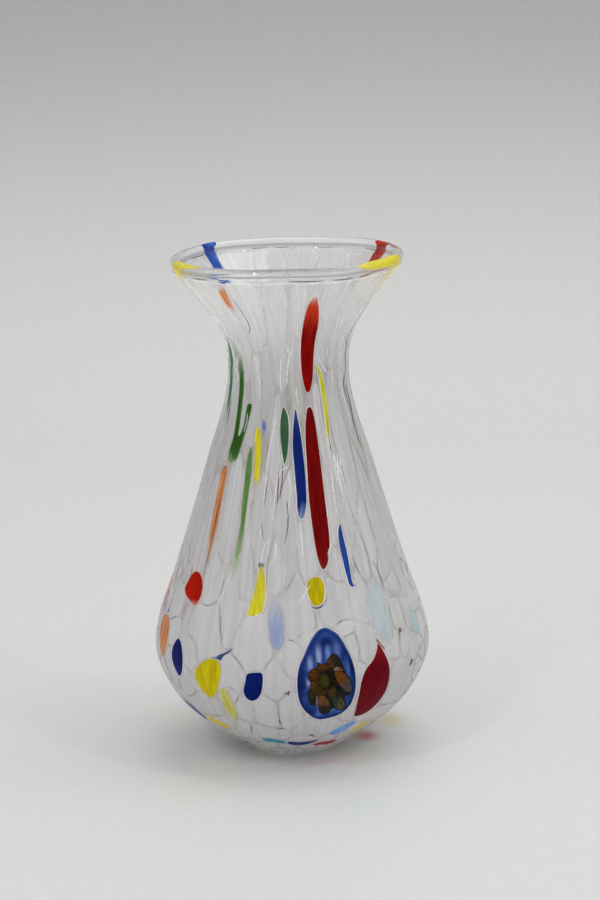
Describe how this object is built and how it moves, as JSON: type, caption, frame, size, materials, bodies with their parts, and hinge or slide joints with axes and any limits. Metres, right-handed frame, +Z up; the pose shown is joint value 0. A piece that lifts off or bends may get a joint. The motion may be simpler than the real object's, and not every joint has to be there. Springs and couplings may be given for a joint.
{
  "type": "blown glass vase",
  "caption": "Small blown vase with a pear-shaped body, narrow neck and flared mouth, its skin a mosaic of fused white and coloured glass chips with a murrina.",
  "frame": {"origin": "centre of the foot, on the plane the vase stands on", "axes": "+Z up along the vase's axis, -Y towards the decorated front, +X to the viewer's right"},
  "size_m": [0.0874, 0.088, 0.16],
  "materials": {
    "clear_glass": "fire-polished blown glass, glossy and clear",
    "white_glass": "translucent white glass chips fused side by side, glossy with shallow grooves between chips",
    "red_glass": "deep red glass, glossy",
    "red_orange_glass": "red-orange glass, glossy",
    "orange_glass": "orange glass drawn thin, glossy",
    "yellow_glass": "yellow glass, glossy",
    "pale_yellow_glass": "pale yellow glass, glossy",
    "green_glass": "green glass, glossy",
    "blue_glass": "cobalt blue glass, glossy",
    "pale_blue_glass": "pale blue glass, glossy",
    "aqua_glass": "aqua glass, glossy",
    "murrina_blue": "blue glass streaked with pale rays, glossy",
    "murrina_amber": "amber-brown glass petals with dark outlines, glossy",
    "murrina_olive": "olive glass core, glossy"
  },
  "bodies": {
    "root": {"clear_glass_body": "clear_glass", "white_chip_layer": "white_glass", "rim_blue_streak": "blue_glass", "rim_red_streak": "red_glass", "rim_yellow_left": "yellow_glass", "rim_yellow_right": "yellow_glass", "orange_streak_rim": "orange_glass", "red_streak_upper": "red_glass", "yellow_thread_neck": "yellow_glass", "green_edge_streak": "green_glass", "green_forked_streak": "green_glass", "orange_streak_left": "orange_glass", "green_streak_long": "green_glass", "yellow_streak_left": "yellow_glass", "blue_dot_neck": "blue_glass", "sea_green_spindle": "green_glass", "blue_streak_centre": "blue_glass", "red_streak_lower": "red_glass", "blue_streak_right": "blue_glass", "red_orange_chip": "red_orange_glass", "yellow_triangle_chip": "yellow_glass", "yellow_centre_chip": "yellow_glass", "pale_blue_chip": "pale_blue_glass", "aqua_chip_right": "aqua_glass", "aqua_chip_edge": "aqua_glass", "orange_chip_edge": "orange_glass", "blue_chip_left": "blue_glass", "yellow_chip_lower_left": "yellow_glass", "pale_yellow_chip": "pale_yellow_glass", "blue_square_chip": "blue_glass", "murrina_ground": "murrina_blue", "murrina_petals": "murrina_amber", "murrina_core": "murrina_olive", "red_chip_right": "red_glass", "base_blue_chip": "blue_glass", "base_yellow_chip": "yellow_glass", "base_light_blue_chip": "pale_blue_glass", "base_yellow_chip_right": "yellow_glass", "base_teal_sliver": "aqua_glass", "base_navy_sliver": "blue_glass", "base_red_chip": "red_glass", "red_streak_back": "red_glass", "blue_streak_back": "blue_glass", "yellow_streak_back": "yellow_glass", "green_streak_back": "green_glass", "orange_streak_back": "orange_glass", "sea_green_streak_back": "green_glass", "blue_chip_back": "blue_glass", "yellow_triangle_back": "yellow_glass", "red_orange_chip_back": "red_orange_glass", "aqua_chip_back": "aqua_glass", "green_chip_back": "green_glass", "yellow_chip_side": "yellow_glass", "red_chip_back": "red_glass", "blue_chip_back_low": "blue_glass", "yellow_chip_back_low": "yellow_glass", "orange_chip_side": "orange_glass", "blue_streak_side": "blue_glass"}
  },
  "joints": []
}
